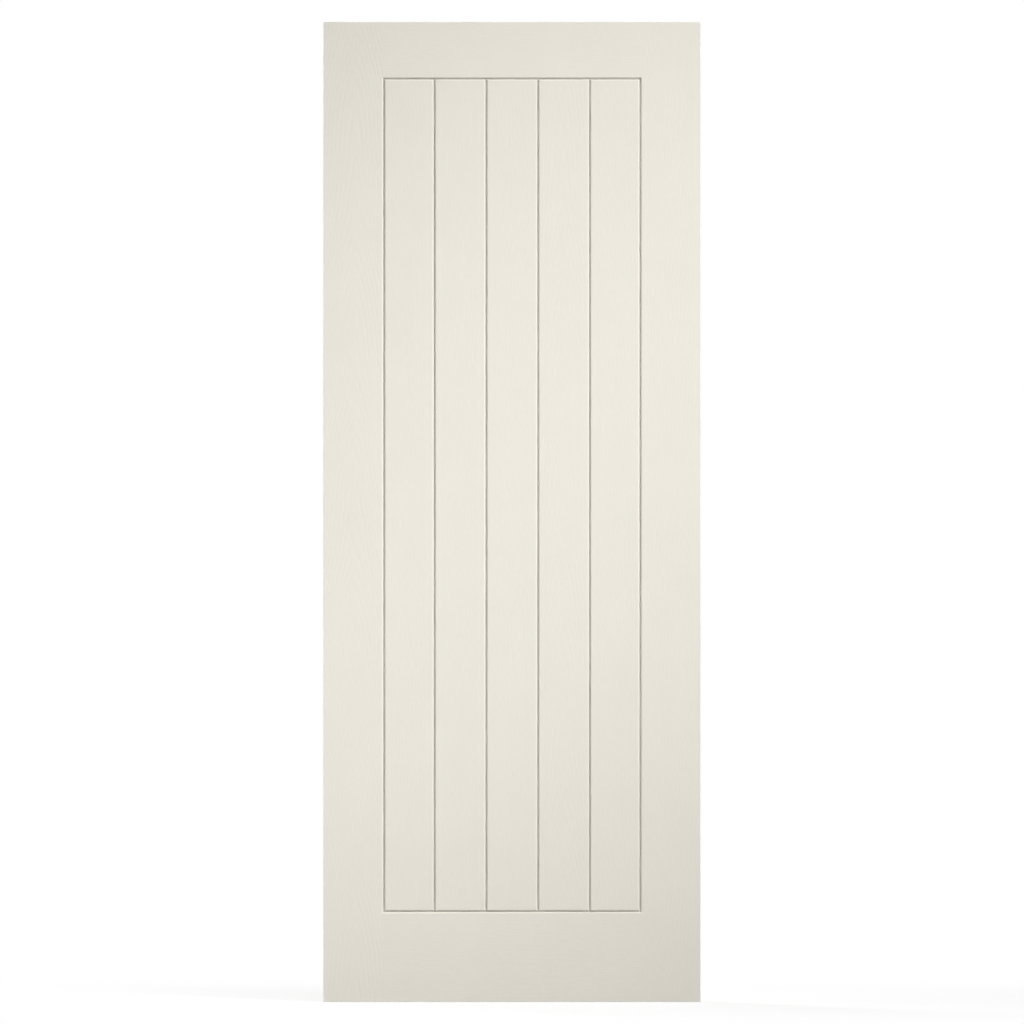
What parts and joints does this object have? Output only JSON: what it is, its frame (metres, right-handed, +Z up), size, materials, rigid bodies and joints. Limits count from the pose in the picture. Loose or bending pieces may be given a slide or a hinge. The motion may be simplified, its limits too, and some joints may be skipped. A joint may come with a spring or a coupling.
{
  "type": "moulded fire door leaf",
  "caption": "Flush timber fire door leaf with moulded wood-grain facings, a mitred V-groove border and upright plank grooves over a solid core, with no handle or hinges.",
  "frame": {"origin": "foot of the hinge edge, midway through the thickness, on the outer face of the hinge stile", "axes": "+X along the width from the hinge edge to the lock edge, +Y through the thickness from the front face to the back face, +Z up the height"},
  "size_m": [0.762, 0.044, 1.981],
  "materials": {
    "primed_facing": "satin off-white factory primer over hardboard with a pressed wood grain",
    "frame_timber": "bare planed softwood",
    "core_chipboard": "raw sanded chipboard"
  },
  "bodies": {
    "root": {"front_skin": "primed_facing", "back_skin": "primed_facing", "hinge_stile": "frame_timber", "lock_stile": "frame_timber", "top_rail": "frame_timber", "bottom_rail": "frame_timber", "core_board": "core_chipboard"}
  },
  "joints": []
}
